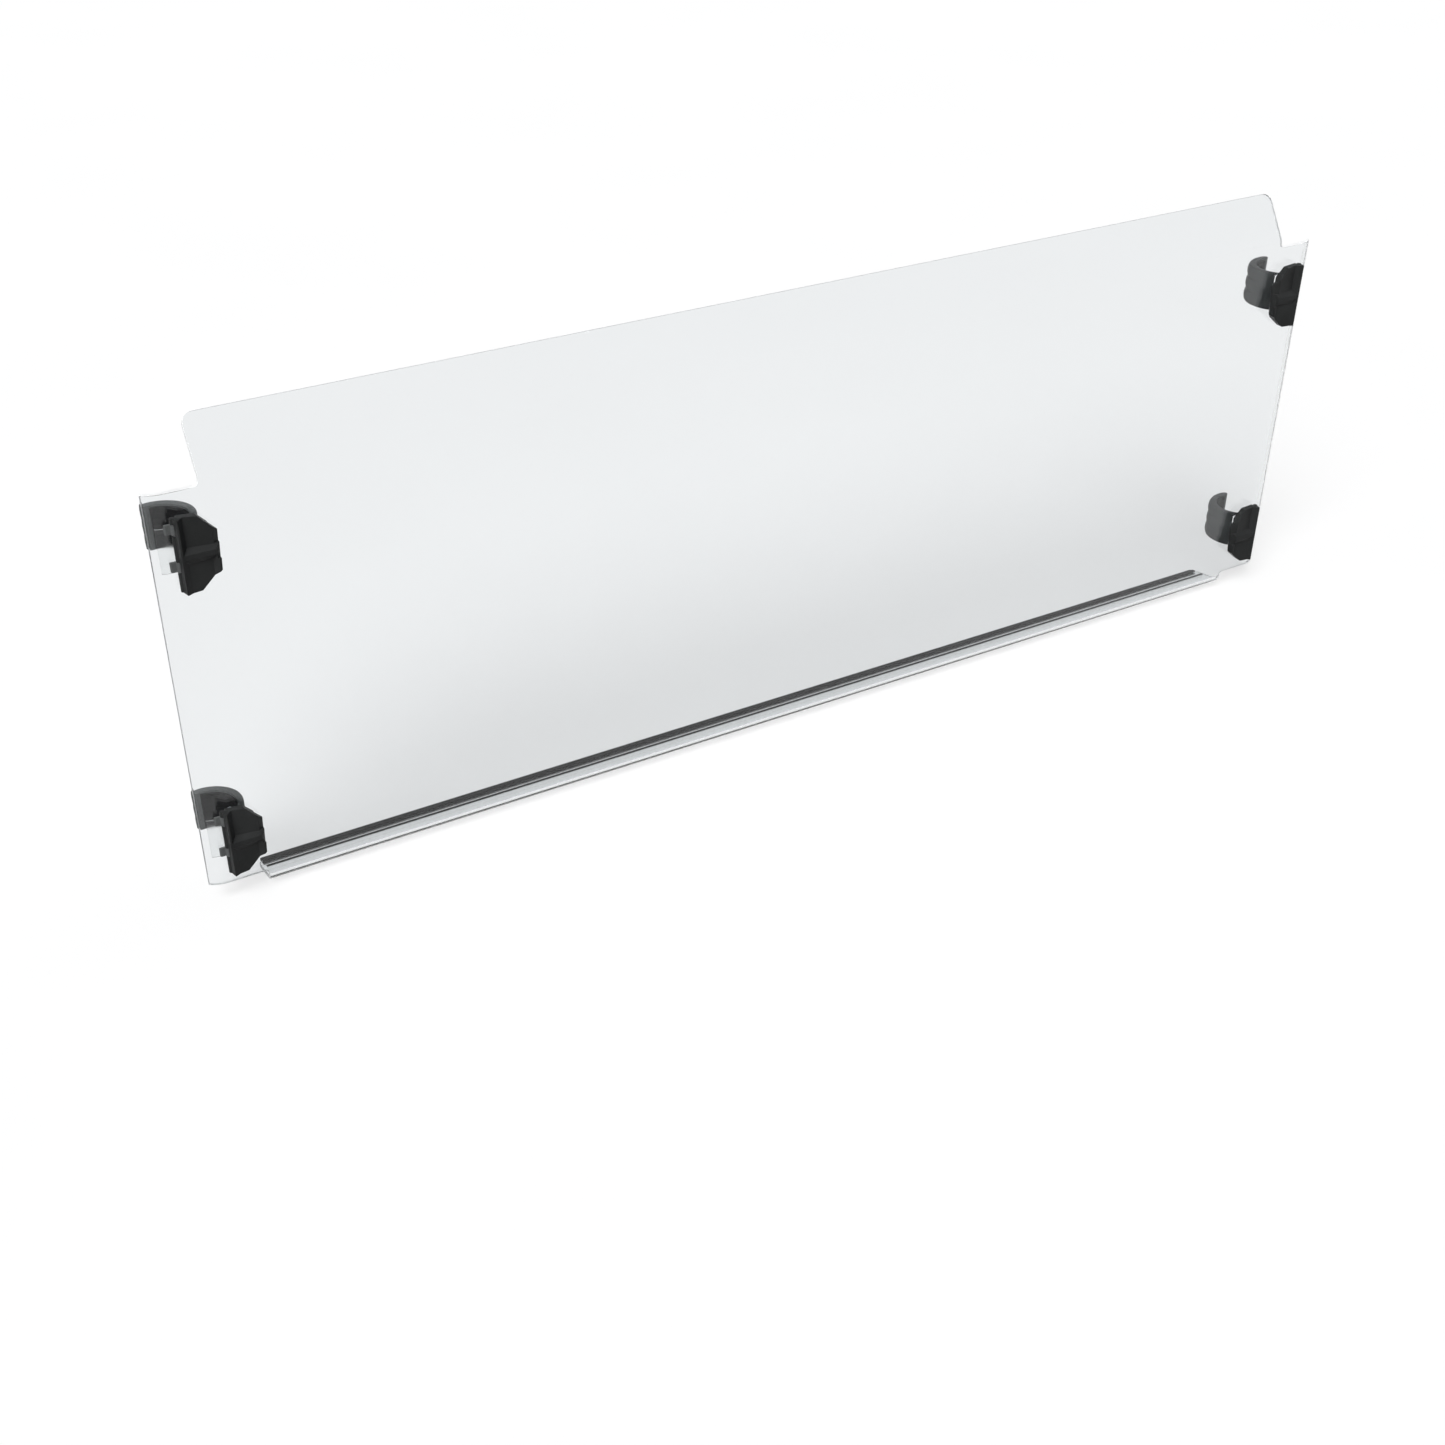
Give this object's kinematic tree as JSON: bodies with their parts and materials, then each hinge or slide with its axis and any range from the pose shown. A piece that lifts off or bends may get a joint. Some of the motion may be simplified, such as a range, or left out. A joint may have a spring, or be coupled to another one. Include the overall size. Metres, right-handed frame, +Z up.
{
  "type": "clamp-on clear rear panel",
  "caption": "Clear bent-sheet rear panel with flanged edges, a rubber bottom seal and quick-release corner clamps whose levers open hooked jaws round upright tubes.",
  "frame": {"origin": "midway between the axes of the two upright tubes, at the mid-height of the clamps", "axes": "+X to the right as seen from behind, +Y forward from the panel toward the tubes, +Z up"},
  "size_m": [1.4022, 0.0812, 0.5132],
  "materials": {
    "clear_polycarbonate": "clear polished sheet",
    "black_nylon": "satin moulded",
    "grey_nylon": "fine moulded grain",
    "seal_rubber": "matt extruded",
    "pad_rubber": "matt",
    "zinc_steel": "zinc plated"
  },
  "bodies": {
    "panel_and_bases": {"panel": "clear_polycarbonate", "bottom_seal": "seal_rubber", "seal_strip": "seal_rubber", "left_upper_base": "grey_nylon", "left_upper_base_pad": "pad_rubber", "left_upper_lever_pin": "zinc_steel", "left_upper_jaw_pin": "zinc_steel", "left_upper_grip_pad": "pad_rubber", "left_upper_upper_screw": "zinc_steel", "left_upper_upper_nut": "zinc_steel", "left_upper_lower_screw": "zinc_steel", "left_upper_lower_nut": "zinc_steel", "left_lower_base": "grey_nylon", "left_lower_base_pad": "pad_rubber", "left_lower_lever_pin": "zinc_steel", "left_lower_jaw_pin": "zinc_steel", "left_lower_grip_pad": "pad_rubber", "left_lower_upper_screw": "zinc_steel", "left_lower_upper_nut": "zinc_steel", "left_lower_lower_screw": "zinc_steel", "left_lower_lower_nut": "zinc_steel", "right_upper_base": "grey_nylon", "right_upper_base_pad": "pad_rubber", "right_upper_lever_pin": "zinc_steel", "right_upper_jaw_pin": "zinc_steel", "right_upper_grip_pad": "pad_rubber", "right_upper_upper_screw": "zinc_steel", "right_upper_upper_nut": "zinc_steel", "right_upper_lower_screw": "zinc_steel", "right_upper_lower_nut": "zinc_steel", "right_lower_base": "grey_nylon", "right_lower_base_pad": "pad_rubber", "right_lower_lever_pin": "zinc_steel", "right_lower_jaw_pin": "zinc_steel", "right_lower_grip_pad": "pad_rubber", "right_lower_upper_screw": "zinc_steel", "right_lower_upper_nut": "zinc_steel", "right_lower_lower_screw": "zinc_steel", "right_lower_lower_nut": "zinc_steel"},
    "left_upper_lever_body": {"left_upper_lever": "black_nylon"},
    "left_upper_jaw_body": {"left_upper_jaw": "grey_nylon", "left_upper_jaw_liner": "pad_rubber"},
    "left_lower_lever_body": {"left_lower_lever": "black_nylon"},
    "left_lower_jaw_body": {"left_lower_jaw": "grey_nylon", "left_lower_jaw_liner": "pad_rubber"},
    "right_upper_lever_body": {"right_upper_lever": "black_nylon"},
    "right_upper_jaw_body": {"right_upper_jaw": "grey_nylon", "right_upper_jaw_liner": "pad_rubber"},
    "right_lower_lever_body": {"right_lower_lever": "black_nylon"},
    "right_lower_jaw_body": {"right_lower_jaw": "grey_nylon", "right_lower_jaw_liner": "pad_rubber"}
  },
  "joints": [
    {"name": "left_upper_lever_hinge", "type": "hinge", "parent": "panel_and_bases", "child": "left_upper_lever_body", "pos_m": [-0.6782, -0.03595, 0.1595], "axis": [0, 0, -1], "range_deg": [0, 90]},
    {"name": "left_upper_jaw_hinge", "type": "hinge", "parent": "panel_and_bases", "child": "left_upper_jaw_body", "pos_m": [-0.661, -0.03515, 0.1595], "axis": [0, 0, -1], "range_deg": [0, 28]},
    {"name": "left_lower_lever_hinge", "type": "hinge", "parent": "panel_and_bases", "child": "left_lower_lever_body", "pos_m": [-0.6782, -0.03595, -0.1595], "axis": [0, 0, -1], "range_deg": [0, 90]},
    {"name": "left_lower_jaw_hinge", "type": "hinge", "parent": "panel_and_bases", "child": "left_lower_jaw_body", "pos_m": [-0.661, -0.03515, -0.1595], "axis": [0, 0, -1], "range_deg": [0, 28]},
    {"name": "right_upper_lever_hinge", "type": "hinge", "parent": "panel_and_bases", "child": "right_upper_lever_body", "pos_m": [0.6782, -0.03595, 0.1595], "axis": [0, 0, 1], "range_deg": [0, 90]},
    {"name": "right_upper_jaw_hinge", "type": "hinge", "parent": "panel_and_bases", "child": "right_upper_jaw_body", "pos_m": [0.661, -0.03515, 0.1595], "axis": [0, 0, 1], "range_deg": [0, 28]},
    {"name": "right_lower_lever_hinge", "type": "hinge", "parent": "panel_and_bases", "child": "right_lower_lever_body", "pos_m": [0.6782, -0.03595, -0.1595], "axis": [0, 0, 1], "range_deg": [0, 90]},
    {"name": "right_lower_jaw_hinge", "type": "hinge", "parent": "panel_and_bases", "child": "right_lower_jaw_body", "pos_m": [0.661, -0.03515, -0.1595], "axis": [0, 0, 1], "range_deg": [0, 28]}
  ],
  "couplings": [
    {"joint": "left_upper_jaw_hinge", "follows": "left_upper_lever_hinge", "ratio": 0.31111},
    {"joint": "left_lower_jaw_hinge", "follows": "left_lower_lever_hinge", "ratio": 0.31111},
    {"joint": "right_upper_jaw_hinge", "follows": "right_upper_lever_hinge", "ratio": 0.31111},
    {"joint": "right_lower_jaw_hinge", "follows": "right_lower_lever_hinge", "ratio": 0.31111}
  ]
}
